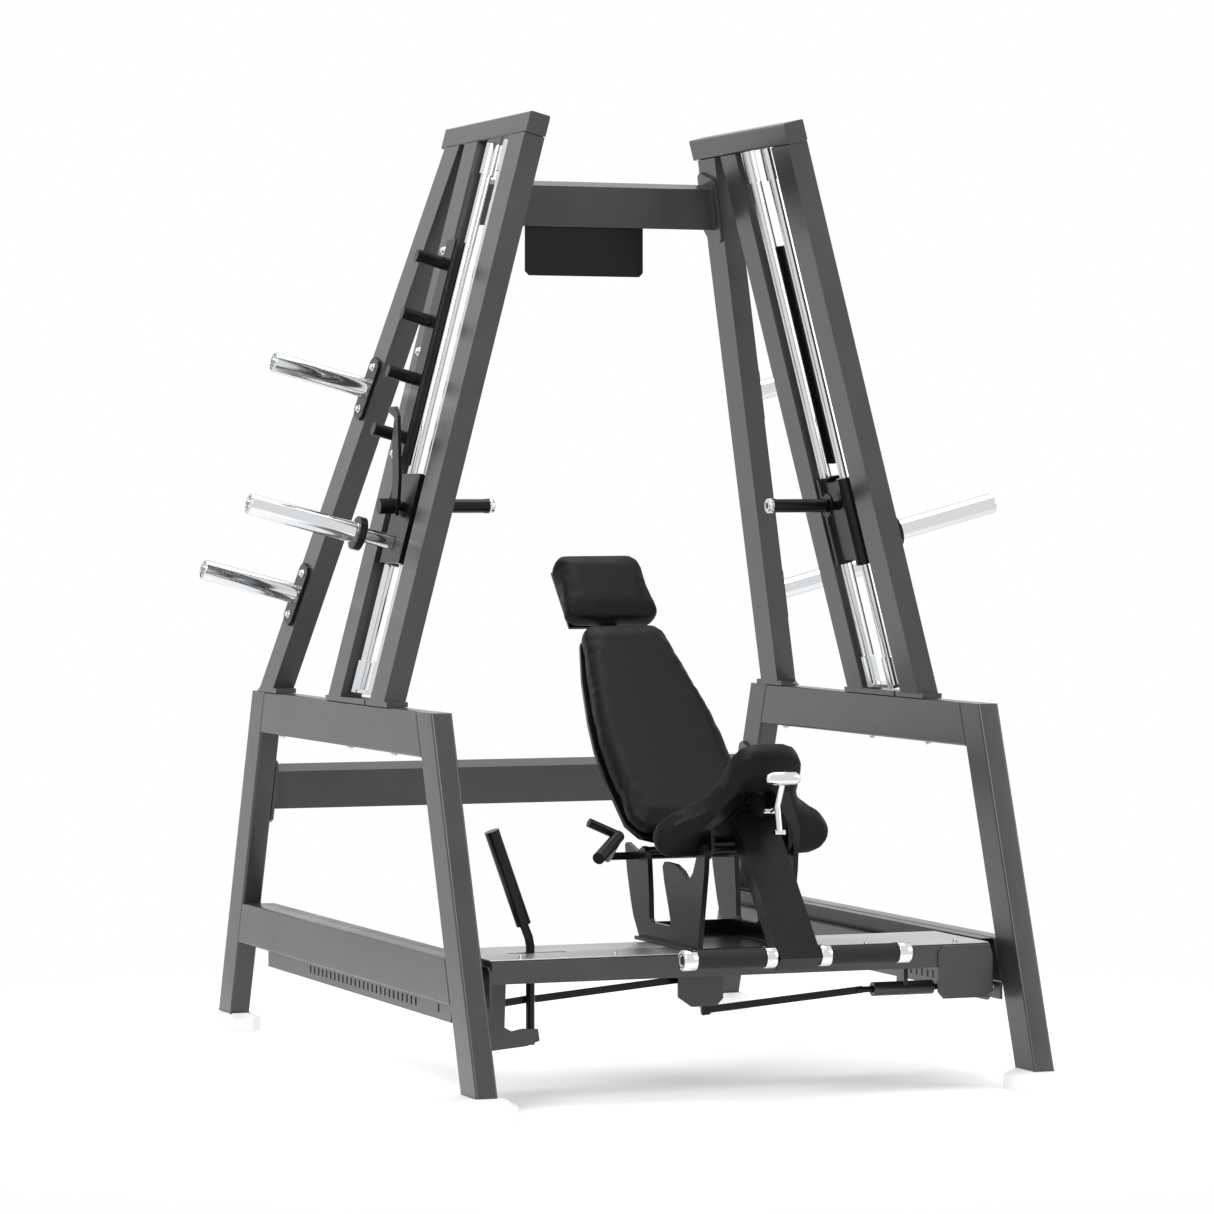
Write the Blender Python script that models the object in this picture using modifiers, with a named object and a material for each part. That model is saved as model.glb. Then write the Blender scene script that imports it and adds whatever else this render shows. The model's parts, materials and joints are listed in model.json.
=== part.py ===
"""Plate-loaded smith machine: two inward-leaning towers with independent carriages, and an
adjustable bench on a platform that slides fore and aft.

Frame: +Z up, X across the machine, -Y is the front, origin on the floor in the middle of the whole
machine's box. Sizes along Y are stated from the side frames' centre line and moved at the end.
The towers are modelled in a leaning frame of their own: x is outwards (n), y is the machine's Y,
z runs up along the tower (s). The left tower is the right tower's mirror image.
"""
import math

import bmesh
import bpy
from mathutils import Matrix, Vector

# ---- driving sizes, metres -------------------------------------------------------------------
GAP = 0.0003                      # between solids that touch
TUBE_WIDE = 0.050                 # every frame tube is 100 x 50
TUBE_DEEP = 0.100
HALF_WIDTH = 0.6845               # outer faces of the side frames
BEAM_TOP = 0.889                  # top of the side frames
LEG_DEPTH = 0.105                 # horizontal depth of the leaning leg tube
LEG_SLOPE = 0.3603                # run over rise of both legs
TOP_HALF_LENGTH = 0.662           # legs' outer faces at the top of the side frame
LOW_BEAM_TOP = 0.3635
FLOOR_Z = 0.036                   # the floor, above the datum that sizes along Z are stated from
SHOE_X, SHOE_Y, SHOE_CHAMFER = 0.115, 0.184, 0.030
SHOE_OUT = 0.016                  # the shoe's middle lies outside the leg's
SHOE_WALL, SHOE_TOP, SHOE_FLOOR = FLOOR_Z + 0.032, FLOOR_Z + 0.046, FLOOR_Z + 0.010

BASE_PLATE = 0.012                # under each upright
LEAN = math.radians(14.7)         # towers lean inwards
TOWER_S = 1.327                   # length of the uprights along the lean
CAP_FRONT, CAP_REAR = -0.347, 0.229
FRONT_UPRIGHT_Y = -0.342
MID_UPRIGHT_Y, MID_UPRIGHT_DEPTH = -0.029, 0.090
REAR_UPRIGHT_Y, REAR_TOP_Y, REAR_DEPTH = 0.490, 0.0977388, 0.104   # its front face, at foot and at top
REAR_SLOPE = (REAR_UPRIGHT_Y - REAR_TOP_Y) / TOWER_S

ROD_R = 0.0125
ROD_N = -0.030
ROD_YS = (-0.058, -0.173)
ROD_HOLDER_R, ROD_HOLDER_L = 0.0170, 0.075
PEG_S, PEG_PITCH, PEGS = 0.616, 0.138, 4
PEG_R, PEG_L, PEG_Y = 0.015, 0.074, -0.031
RACK_PLATE = 0.0055
HORN_R, HORN_L, HORN_SS = 0.0245, 0.245, (0.232, 0.740)

CARRIAGE_S = (0.320, 0.530)
BEARING_R = 0.022
SLEEVE_S, SLEEVE_Y = 0.367, -0.120
SLEEVE_R, SLEEVE_TIP = 0.0245, 0.355
COLLAR_R, COLLAR_N = 0.039, (0.075, 0.093)
GRIP_Y, GRIP_Z = -0.120, 1.339    # axis of the catch handle, along X
GRIP_X, SHAFT_END_X = HALF_WIDTH - 0.3405, HALF_WIDTH - 0.0625
GRIP_R, CATCH_SHAFT_R = 0.017, 0.011
HOOK_X, HOOK_T = HALF_WIDTH - 0.1035, 0.008
HOOK_OPEN = math.radians(18)

CROSS_S = 1.210                   # upper crossbeam, along the tower
LOW_CROSS_Z = 0.652
END_PLATE, END_PLATE_L, END_PLATE_W = 0.008, 0.160, 0.096
PLACARD_X, PLACARD_BOTTOM, PLACARD_T = 0.151, 1.887, 0.004

RAIL_X, RAIL_T = HALF_WIDTH - 0.0245, 0.006   # on the lower beam's underside
RAIL_Z = (0.221, 0.2632)
RAIL_Y = (-0.730, 0.600)
SLOTS, SLOT_PITCH, SLOT_FIRST = 26, 0.0304, -0.497
SLOT_SIZE = (0.010, 0.022)
TRACK_X = (HALF_WIDTH - 0.080, HALF_WIDTH - TUBE_WIDE - GAP)   # on the lower beam's inner face
TRACK_Z, TRACK_Y, TRACK_WALL = (0.318, 0.362), (-0.740, 0.740), 0.006

PLAT_X, PLAT_Y = HALF_WIDTH - 0.0885, (-0.805, -0.515)
PLAT_TOP, DECK_T, PLAT_TUBE = 0.360, 0.004, 0.048
SIDE_PLATE = (PLAT_X - 0.002, PLAT_X + 0.006)
PIN_Y, PIN_Z, PIN_R = -0.649, 0.247, 0.007
PIN_TIP = RAIL_X - RAIL_T / 2 - 0.003
PIN_STEP = PIN_TIP - 0.015        # where the stepped end starts, so that only it reaches the rail
PIN_END_R = SLOT_SIZE[0] / 2 - 0.0005   # the pin's stepped end, which enters a slot
LEVER_X, LEVER_Y, LEVER_PIVOT_Z, LEVER_R = -0.455, -0.663, 0.180, 0.010
LINK_Z, LINK_T, LINK_H = 0.257, 0.006, 0.016
CRANK_X, CRANK_Z = -0.035, 0.253
CRANK_TOP, CRANK_LOW = (-0.046, 0.291), (-0.038, 0.216)

CHEEK_X = (0.100, 0.112)
BENCH_FOOT_Y, CHEEK_DIP = -0.795, 0.404   # the opening between the cheek's arms ends at this height
BACK_ANGLE = math.radians(44)
BACK_TOP = (-0.053, 1.076)        # y, z of the back pad's top edge, front face
BACK_LENGTH, PAD_T, BOARD_T = 0.660, 0.052, 0.012
BACK_AXIS = (-0.469, 0.556)
HEAD_ANGLE, HEAD_LENGTH, HEAD_T = math.radians(47), 0.215, 0.060
SEAT_ANGLE = math.radians(50)
SEAT_BASE = (-0.790, 0.590)
SEAT_AXIS = (-0.816, 0.586)
SEAT_T = 0.056
POST_HALF, POST_T = 0.048, 0.040
POST_TOP = (-0.872, 0.638)
POST_ANGLE = math.radians(48.5)
POST_L, ROLLER_T = 0.356, 0.335
ROLLER_X, ROLLER_R = 0.266, 0.021
SEAT_HANDLE_AXIS = (-0.935, 0.677)
BACK_HANDLE_AXIS = (-0.400, 0.545)

COLOURS = {
    "frame": ((0.105, 0.105, 0.107), 0.42, 0.3),
    "black": ((0.012, 0.012, 0.013), 0.35, 0.2),
    "chrome": ((0.80, 0.80, 0.80), 0.12, 1.0),
    "shoe": ((0.86, 0.86, 0.86), 0.40, 0.6),
    "deck": ((0.55, 0.55, 0.55), 0.35, 0.7),
    "pad": ((0.016, 0.016, 0.016), 0.55, 0.0),
    "rubber": ((0.010, 0.010, 0.010), 0.80, 0.0),
}
SIDES = (("right", 1), ("left", -1))


# ---- tools ---------------------------------------------------------------------------------
def clear_scene():
    for obj in list(bpy.data.objects):
        bpy.data.objects.remove(obj, do_unlink=True)


def material(kind):
    name = "cad_" + kind
    if name in bpy.data.materials:
        return bpy.data.materials[name]
    mat = bpy.data.materials.new(name)
    mat.use_nodes = True
    shader = mat.node_tree.nodes["Principled BSDF"]
    colour, rough, metal = COLOURS[kind]
    shader.inputs["Base Color"].default_value = (*colour, 1.0)
    shader.inputs["Roughness"].default_value = rough
    shader.inputs["Metallic"].default_value = metal
    return mat


def baked(obj):
    """The evaluated mesh of an object, as a plain mesh object with its place in its mesh."""
    graph = bpy.context.evaluated_depsgraph_get()
    mesh = bpy.data.meshes.new_from_object(obj.evaluated_get(graph))
    mesh.transform(obj.matrix_world)
    bpy.data.objects.remove(obj, do_unlink=True)
    bm = bmesh.new()
    bm.from_mesh(mesh)
    bmesh.ops.remove_doubles(bm, verts=bm.verts, dist=0.00001)
    bmesh.ops.recalc_face_normals(bm, faces=bm.faces)
    bm.to_mesh(mesh)
    bm.free()
    mesh.materials.clear()
    solid = bpy.data.objects.new("solid", mesh)
    bpy.context.scene.collection.objects.link(solid)
    return solid


def box(lo, hi):
    size = [b - a for a, b in zip(lo, hi)]
    centre = [(a + b) / 2 for a, b in zip(lo, hi)]
    bpy.ops.mesh.primitive_cube_add(size=1.0, location=centre)
    obj = bpy.context.object
    obj.scale = size
    bpy.context.view_layer.update()
    return baked(obj)


def rod(start, end, radius, sides=20):
    start, end = Vector(start), Vector(end)
    axis = end - start
    bpy.ops.mesh.primitive_cylinder_add(vertices=sides, radius=radius, depth=axis.length)
    obj = bpy.context.object
    turn = axis.to_track_quat("Z", "Y").to_matrix().to_4x4()
    obj.matrix_world = Matrix.Translation((start + end) / 2) @ turn
    bpy.context.view_layer.update()
    return baked(obj)


def turned(profile, start, direction, steps=24):
    """A solid of revolution. profile lists (radius, distance along direction), both ends on the axis."""
    mesh = bpy.data.meshes.new("profile")
    points = [(r, 0, z) for r, z in reversed(profile)]
    mesh.from_pydata(points, [(i, i + 1) for i in range(len(points) - 1)], [])
    obj = bpy.data.objects.new("profile", mesh)
    bpy.context.scene.collection.objects.link(obj)
    screw = obj.modifiers.new("turn", "SCREW")
    screw.steps = steps
    screw.render_steps = steps
    screw.use_merge_vertices = True
    screw.merge_threshold = 0.00001
    turn = Vector(direction).to_track_quat("Z", "Y").to_matrix().to_4x4()
    obj.matrix_world = Matrix.Translation(start) @ turn
    bpy.context.view_layer.update()
    return baked(obj)


def plate(outline, lo, hi, plane):
    """A flat outline in plane YZ, XZ or XY, filled and extruded between lo and hi on the third axis."""
    curve = bpy.data.curves.new("outline", "CURVE")
    curve.dimensions = "2D"
    curve.fill_mode = "BOTH"
    curve.extrude = (hi - lo) / 2
    spline = curve.splines.new("POLY")
    spline.points.add(len(outline) - 1)
    for point, (a, b) in zip(spline.points, outline):
        point.co = (a, b, 0, 1)
    spline.use_cyclic_u = True
    obj = bpy.data.objects.new("outline", curve)
    bpy.context.scene.collection.objects.link(obj)
    third = (lo + hi) / 2
    frames = {
        "YZ": ((0, 0, 1, third), (1, 0, 0, 0), (0, 1, 0, 0), (0, 0, 0, 1)),
        "XZ": ((1, 0, 0, 0), (0, 0, -1, third), (0, 1, 0, 0), (0, 0, 0, 1)),
        "XY": ((1, 0, 0, 0), (0, 1, 0, 0), (0, 0, 1, third), (0, 0, 0, 1)),
    }
    obj.matrix_world = Matrix(frames[plane])
    bpy.context.view_layer.update()
    return baked(obj)


def combine(operation, first, others):
    for other in others:
        step = first.modifiers.new("step", "BOOLEAN")
        step.operation = operation
        step.solver = "EXACT"
        step.object = other
        bpy.context.view_layer.update()
        result = baked(first)
        bpy.data.objects.remove(other, do_unlink=True)
        first = result
    return first


def union(first, *others):
    return combine("UNION", first, others)


def cut(first, *others):
    return combine("DIFFERENCE", first, others)


def moved(obj, matrix):
    obj.data.transform(matrix)
    return obj


def shoe_y():
    return leg_y(SHOE_WALL) - LEG_DEPTH / 2 + SHOE_OUT


def middle_y():
    """The side frames' centre line, seen from the middle of the whole machine's box."""
    front = POST_TOP[0] - POST_L * math.cos(POST_ANGLE)
    rear = shoe_y() + SHOE_Y / 2
    return -(front + rear) / 2


def finish(obj, name, kind, origin=(0, 0, 0), parent=None):
    """Names the solid, gives it its material and sets its origin in its parent's frame."""
    obj.name = name
    obj.data.name = name
    obj.data.transform(Matrix.Translation(-Vector(origin)))
    obj.location = origin
    if parent is None:
        obj.location.y += middle_y()
        obj.location.z -= FLOOR_Z
    obj.parent = parent
    obj.data.materials.append(material(kind))
    obj.data.shade_smooth()
    obj.data.set_sharp_from_angle(angle=math.radians(30))
    for coll in list(obj.users_collection):
        coll.objects.unlink(obj)
    bpy.data.collections["smith_machine"].objects.link(obj)
    return obj


def mirrored(obj):
    """A mirror image across x = 0 of the object's own frame."""
    mesh = obj.data.copy()
    mesh.transform(Matrix.Diagonal((-1, 1, 1, 1)))
    mesh.flip_normals()
    mesh.materials.clear()
    twin = bpy.data.objects.new("twin", mesh)
    bpy.context.scene.collection.objects.link(twin)
    return twin


def both_sides(obj, name, kind, origin=(0, 0, 0), parents=(None, None)):
    """Finishes a right-hand solid and its left-hand twin."""
    twin = mirrored(obj)
    finish(obj, name + "_right", kind, origin, parents[0])
    finish(twin, name + "_left", kind, (-origin[0], origin[1], origin[2]), parents[1])


def empty(name, location, turn_y=0.0):
    obj = bpy.data.objects.new(name, None)
    obj.location = location
    obj.rotation_euler = (0, turn_y, 0)
    obj.empty_display_size = 0.05
    bpy.data.collections["smith_machine"].objects.link(obj)
    return obj


# ---- side frames ----------------------------------------------------------------------------
def leg_y(z):
    """Outer face of the rear leg at a height; the front leg is its mirror image."""
    return TOP_HALF_LENGTH + (BEAM_TOP - z) * LEG_SLOPE


def leg_solid(grow=0.0, z_low=SHOE_FLOOR + GAP, z_top=BEAM_TOP):
    outline = [
        (leg_y(z_low) + grow, z_low),
        (leg_y(z_top) + grow, z_top),
        (leg_y(z_top) - LEG_DEPTH - grow, z_top),
        (leg_y(z_low) - LEG_DEPTH - grow, z_low),
    ]
    return plate(outline, HALF_WIDTH - TUBE_WIDE - grow, HALF_WIDTH + grow, "YZ")


def shoe_solid():
    """An eight-sided shoe with upright walls and a sloping top, and a pocket for the leg."""
    x_mid = HALF_WIDTH - TUBE_WIDE / 2
    y_mid = shoe_y()
    block = box((x_mid - SHOE_X / 2, y_mid - SHOE_Y / 2, FLOOR_Z),
                (x_mid + SHOE_X / 2, y_mid + SHOE_Y / 2, SHOE_WALL))
    bm = bmesh.new()
    bm.from_mesh(block.data)
    posts = [e for e in bm.edges if abs(e.verts[0].co.z - e.verts[1].co.z) > 0.001]
    bmesh.ops.bevel(bm, geom=posts, offset=SHOE_CHAMFER, segments=1, affect="EDGES")
    bm.faces.ensure_lookup_table()
    lid = max(bm.faces, key=lambda f: f.calc_center_median().z)
    made = bmesh.ops.extrude_face_region(bm, geom=[lid])
    bmesh.ops.delete(bm, geom=[lid], context="FACES_ONLY")
    top = [v for v in made["geom"] if isinstance(v, bmesh.types.BMVert)]
    for vert in top:
        vert.co.x = x_mid + (vert.co.x - x_mid) * 0.60
        vert.co.y = y_mid + (vert.co.y - y_mid) * 0.86
        vert.co.z = SHOE_TOP
    bmesh.ops.recalc_face_normals(bm, faces=bm.faces)
    bm.to_mesh(block.data)
    bm.free()
    return cut(block, leg_solid(GAP, SHOE_FLOOR, SHOE_TOP + 0.05))


def make_side_frames():
    flip = Matrix.Diagonal((1, -1, 1, 1))
    for end, turn in (("rear", False), ("front", True)):
        for builder, part, kind in ((leg_solid, "leg", "frame"), (shoe_solid, "shoe", "shoe")):
            solid = builder()
            if turn:
                solid.data.transform(flip)
                solid.data.flip_normals()
            both_sides(solid, end + "_" + part, kind)
    for name, z_top in (("top_beam", BEAM_TOP), ("lower_beam", LOW_BEAM_TOP)):
        z_low = z_top - TUBE_DEEP
        reach = [leg_y(z) - LEG_DEPTH - GAP for z in (z_low, z_top)]
        outline = [(-reach[0], z_low), (reach[0], z_low), (reach[1], z_top), (-reach[1], z_top)]
        both_sides(plate(outline, HALF_WIDTH - TUBE_WIDE, HALF_WIDTH, "YZ"), name, "frame")


# ---- towers, in their leaning frame (n, y, s) --------------------------------------------------
def upright_solid(y_foot, depth, slope, plate_y):
    """A tube whose foot is cut level on its base plate."""
    top = TOWER_S - GAP
    outline = [(y_foot, 0), (y_foot + depth, 0), (y_foot + depth - slope * top, top),
               (y_foot - slope * top, top)]
    tube = plate(outline, -TUBE_WIDE, 0, "YZ")
    for vert in tube.data.vertices:
        if vert.co.z < top / 2:
            rise = -vert.co.x * math.tan(LEAN)
            vert.co.z += rise - 0.002
            vert.co.y -= slope * (rise - 0.002)
    foot = box((-TUBE_WIDE, plate_y[0], -BASE_PLATE + GAP), (0, plate_y[1], 0))
    return union(tube, moved(foot, Matrix.Rotation(LEAN, 4, "Y")))


def make_uprights(parents):
    front = upright_solid(FRONT_UPRIGHT_Y, TUBE_DEEP, 0, (FRONT_UPRIGHT_Y - 0.02, FRONT_UPRIGHT_Y + 0.13))
    both_sides(front, "front_upright", "frame", parents=parents)
    mid = upright_solid(MID_UPRIGHT_Y, MID_UPRIGHT_DEPTH, 0, (ROD_YS[1] - 0.03, MID_UPRIGHT_Y + 0.11))
    both_sides(mid, "mid_upright", "frame", parents=parents)
    rear = upright_solid(REAR_UPRIGHT_Y, REAR_DEPTH, REAR_SLOPE,
                         (REAR_UPRIGHT_Y - 0.025, REAR_UPRIGHT_Y + 0.13))
    both_sides(rear, "rear_upright", "frame", parents=parents)
    cap = box((-TUBE_WIDE, CAP_FRONT, TOWER_S), (0, CAP_REAR, TOWER_S + TUBE_WIDE))
    both_sides(cap, "cap_beam", "frame", parents=parents)


def make_guide_rods(parents):
    """Two polished rods, their black end holders and the bar that ties them at the foot."""
    foot, top = 0.016, TOWER_S - GAP
    tie = box((ROD_N - 0.012, ROD_YS[1] - 0.02, foot), (ROD_N + 0.012, ROD_YS[0] + 0.015, foot + 0.008))
    profile = [
        (0, 0), (ROD_HOLDER_R, 0), (ROD_HOLDER_R, ROD_HOLDER_L), (ROD_R, ROD_HOLDER_L),
        (ROD_R, top - foot - ROD_HOLDER_L), (ROD_HOLDER_R, top - foot - ROD_HOLDER_L),
        (ROD_HOLDER_R, top - foot), (0, top - foot),
    ]
    rods = [turned(profile, (ROD_N, y, foot), (0, 0, 1)) for y in ROD_YS]
    both_sides(union(tie, *rods), "guide_rods", "chrome", parents=parents)


def make_peg_rack(parents):
    low, high = PEG_S - 0.06, PEG_S + (PEGS - 1) * PEG_PITCH + 0.06
    strip = box((GAP, PEG_Y - 0.030, low), (GAP + RACK_PLATE, PEG_Y + 0.028, high))
    pegs = []
    for i in range(PEGS):
        s = PEG_S + i * PEG_PITCH
        pegs.append(rod((0.002, PEG_Y, s), (RACK_PLATE + PEG_L, PEG_Y, s), PEG_R))
    both_sides(union(strip, *pegs), "peg_rack", "black", parents=parents)


def make_storage_horns(parents):
    for name, s in zip(("lower", "upper"), HORN_SS):
        y = REAR_UPRIGHT_Y - REAR_SLOPE * s + REAR_DEPTH / 2
        along = Vector((-REAR_SLOPE, 1.0)).normalized()
        outline = []
        for a, b in ((-0.075, -0.022), (-0.062, -0.035), (0.062, -0.035), (0.075, -0.022),
                     (0.075, 0.022), (0.062, 0.035), (-0.062, 0.035), (-0.075, 0.022)):
            outline.append((y + a * along.x + b * along.y, s + a * along.y - b * along.x))
        flange = plate(outline, GAP, 0.008, "YZ")
        horn = turned([(0, 0), (HORN_R, 0), (HORN_R, HORN_L - 0.003), (HORN_R - 0.003, HORN_L),
                       (0.019, HORN_L), (0.019, HORN_L - 0.012), (0, HORN_L - 0.012)], (0.002, y, s),
                      (1, 0, 0))
        both_sides(union(flange, horn), name + "_storage_horn", "chrome", parents=parents)


# ---- carriages, in the towers' frame ------------------------------------------------------------
def to_tower(x, y, z):
    """Machine coordinates on the right side, seen in the right tower's frame."""
    dx, dz = x - HALF_WIDTH, z - BEAM_TOP - BASE_PLATE
    return (dx * math.cos(LEAN) + dz * math.sin(LEAN), y, -dx * math.sin(LEAN) + dz * math.cos(LEAN))


def make_carriages(parents):
    low, high = CARRIAGE_S
    body = box((-0.042, ROD_YS[1] + 0.004, low + 0.010), (-0.010, ROD_YS[0] - 0.010, high - 0.010))
    face = box((-0.012, ROD_YS[1] - 0.027, low), (-0.002, ROD_YS[0] - 0.008, high))
    bearings = [rod((ROD_N, y, low), (ROD_N, y, high), BEARING_R) for y in ROD_YS]
    block = union(body, face, *bearings)
    bores = [rod((ROD_N, y, low - 0.01), (ROD_N, y, high + 0.01), ROD_R + GAP, 24) for y in ROD_YS]
    cross = rod(to_tower(HOOK_X - 0.101, GRIP_Y, GRIP_Z), to_tower(SHAFT_END_X - 0.002, GRIP_Y, GRIP_Z),
                CATCH_SHAFT_R + GAP)
    block = cut(block, *bores, cross)
    both_sides(block, "carriage", "black", (ROD_N, SLEEVE_Y, low), parents)


def make_sleeves(parents):
    profile = [
        (0, 0), (0.0175, 0), (0.0175, COLLAR_N[0]), (COLLAR_R, COLLAR_N[0]), (COLLAR_R, COLLAR_N[1]),
        (SLEEVE_R, COLLAR_N[1]), (SLEEVE_R, SLEEVE_TIP - 0.003), (SLEEVE_R - 0.003, SLEEVE_TIP),
        (0.018, SLEEVE_TIP), (0.018, SLEEVE_TIP - 0.010), (0, SLEEVE_TIP - 0.010),
    ]
    sleeve = turned(profile, (-0.002 + GAP, SLEEVE_Y, SLEEVE_S), (1, 0, 0))
    both_sides(sleeve, "plate_sleeve", "chrome", (0, SLEEVE_Y, SLEEVE_S), parents)


# ---- catch handles, in machine coordinates --------------------------------------------------------
def peg_centre_at(x):
    """y and z of the lowest peg's axis where it crosses a plane of constant x on the right side."""
    n = ((x - HALF_WIDTH) + PEG_S * math.sin(LEAN)) / math.cos(LEAN)
    return PEG_Y, BEAM_TOP + BASE_PLATE + PEG_S * math.cos(LEAN) + n * math.sin(LEAN)


def hook_outline():
    """The hook in its open position: its closed shape, hooked over a peg, turned back about the grip."""
    peg_y, peg_z = peg_centre_at(HOOK_X)
    under = peg_z + PEG_R + 0.006
    back = peg_y - PEG_R - 0.014
    shut = [
        (GRIP_Y + 0.022, GRIP_Z - 0.006), (GRIP_Y + 0.030, GRIP_Z + 0.060), (back, peg_z - 0.030),
        (back, under), (peg_y + 0.014, under), (peg_y + 0.016, under + 0.012),
            (back + 0.004, under + 0.026),
        (back - 0.022, under + 0.012), (GRIP_Y - 0.012, GRIP_Z + 0.075), (GRIP_Y - 0.022, GRIP_Z + 0.006),
        (GRIP_Y - 0.016, GRIP_Z - 0.018), (GRIP_Y + 0.012, GRIP_Z - 0.022),
    ]
    c, s = math.cos(HOOK_OPEN), math.sin(HOOK_OPEN)
    turned_back = []
    for y, z in shut:
        dy, dz = y - GRIP_Y, z - GRIP_Z
        turned_back.append((GRIP_Y + dy * c - dz * s, GRIP_Z + dz * c + dy * s))
    return turned_back


def make_catch_handles():
    hook = plate(hook_outline(), HOOK_X - HOOK_T / 2, HOOK_X + HOOK_T / 2, "YZ")
    start = GRIP_X
    profile = [
        (0, 0), (GRIP_R - 0.003, 0), (GRIP_R, 0.003), (GRIP_R, 0.020), (GRIP_R - 0.001, 0.022),
        (GRIP_R - 0.001, 0.150), (CATCH_SHAFT_R, 0.150), (CATCH_SHAFT_R, 0.153), (0.029, 0.153),
        (0.029, 0.159), (CATCH_SHAFT_R, 0.159), (CATCH_SHAFT_R, HOOK_X + HOOK_T / 2 - start),
        (0.018, HOOK_X + HOOK_T / 2 - start), (0.018, SHAFT_END_X - start), (0, SHAFT_END_X - start),
    ]
    shaft = turned(profile, (start, GRIP_Y, GRIP_Z), (1, 0, 0))
    both_sides(union(shaft, hook), "catch_handle", "black", (HOOK_X, GRIP_Y, GRIP_Z))


# ---- crossbeams and placard -------------------------------------------------------------------------
def tower_matrix(side):
    turn = Matrix.Rotation(-LEAN * side, 4, "Y")
    return Matrix.Translation((HALF_WIDTH * side, 0, BEAM_TOP + BASE_PLATE)) @ turn


def tilted_plate_outline(y, z, angle):
    """A chamfered rectangle along a leaning member, around a point, as (y, z) pairs."""
    c, s = math.cos(angle), math.sin(angle)
    l, w, k = END_PLATE_L / 2, END_PLATE_W / 2, 0.012
    ring = ((-l, -w + k), (-l + k, -w), (l - k, -w), (l, -w + k), (l, w - k), (l - k, w), (-l + k, w),
            (-l, w - k))
    return [(y - a * s + b * c, z + a * c + b * s) for a, b in ring]


def make_upper_crossbeam():
    angle = math.atan(REAR_SLOPE)
    y = REAR_UPRIGHT_Y - REAR_SLOPE * CROSS_S + REAR_DEPTH / 2
    inner = tower_matrix(1) @ Vector((-TUBE_WIDE - END_PLATE / 2, y, CROSS_S))
    half = TUBE_DEEP / 2
    step = half * math.cos(angle) * math.tan(LEAN)
    outline = [(-inner.x - step, -half), (inner.x + step, -half), (inner.x - step, half),
               (-inner.x + step, half)]
    beam = plate(outline, -TUBE_WIDE / 2, TUBE_WIDE / 2, "XZ")
    moved(beam, Matrix.Translation((0, y, inner.z)) @ Matrix.Rotation(angle, 4, "X"))
    plates = []
    for side in (1, -1):
        ring = tilted_plate_outline(y, CROSS_S, angle)
        lo, hi = -TUBE_WIDE - END_PLATE, -TUBE_WIDE - GAP
        if side < 0:
            lo, hi = -hi, -lo
        plates.append(moved(plate(ring, lo, hi, "YZ"), tower_matrix(side)))
    finish(union(beam, *plates), "upper_crossbeam", "frame")
    return y, inner.z, angle


def make_lower_crossbeam():
    angle = math.atan(LEG_SLOPE)
    y = leg_y(LOW_CROSS_Z) - LEG_DEPTH / 2
    reach = HALF_WIDTH - TUBE_WIDE
    beam = box((-reach + 0.004, -TUBE_WIDE / 2, -TUBE_DEEP / 2),
               (reach - 0.004, TUBE_WIDE / 2, TUBE_DEEP / 2))
    moved(beam, Matrix.Translation((0, y, LOW_CROSS_Z)) @ Matrix.Rotation(angle, 4, "X"))
    ring = tilted_plate_outline(y, LOW_CROSS_Z, angle)
    right = plate(ring, reach - END_PLATE, reach - GAP, "YZ")
    left = plate(ring, -reach + GAP, -reach + END_PLATE, "YZ")
    finish(union(beam, right, left), "lower_crossbeam", "frame")


def make_placard(beam_y, beam_z, angle):
    """A thin sign that hangs just under the upper crossbeam."""
    y = beam_y + 0.006
    under = beam_z - TUBE_DEEP / 2 / math.cos(angle) + (y - beam_y) * math.tan(angle)
    top = under - PLACARD_T * math.tan(angle) - 0.001
    x, low, k = PLACARD_X, PLACARD_BOTTOM, 0.010
    outline = [(-x, top), (-x, low + k), (-x + k, low), (x - k, low), (x, low + k), (x, top)]
    finish(plate(outline, y - PLACARD_T, y, "XZ"), "placard", "black")


# ---- rails and sliding platform ---------------------------------------------------------------------
def make_rails():
    rail = box((RAIL_X - RAIL_T / 2, RAIL_Y[0], RAIL_Z[0]), (RAIL_X + RAIL_T / 2, RAIL_Y[1], RAIL_Z[1]))
    places = [SLOT_FIRST + i * SLOT_PITCH for i in range(SLOTS)] + [PIN_Y]
    w, h = SLOT_SIZE[0] / 2, SLOT_SIZE[1] / 2
    slots = [box((RAIL_X - 0.02, y - w, PIN_Z - h),
                 (RAIL_X + 0.02, y + w, PIN_Z + h - 0.004)) for y in places]
    both_sides(cut(rail, *slots), "slotted_rail", "frame")
    x0, x1 = TRACK_X
    z0, z1 = TRACK_Z
    t = TRACK_WALL
    ring = [(x1, z0), (x1, z1), (x0, z1), (x0, z1 - t), (x1 - t, z1 - t), (x1 - t, z0 + t), (x0, z0 + t),
            (x0, z0)]
    both_sides(plate(ring, TRACK_Y[0], TRACK_Y[1], "XZ"), "bench_track", "black")


def side_plate_outline():
    y0, y1, z0, z1, k = PLAT_Y[0], PLAT_Y[1], 0.228, 0.345, 0.020
    return [(y0 + k, z0), (y1 - k, z0), (y1, z0 + k), (y1, z1 - k / 2), (y1 - k / 2, z1), (y0 + k / 2, z1),
            (y0, z1 - k / 2), (y0, z0 + k)]


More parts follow.
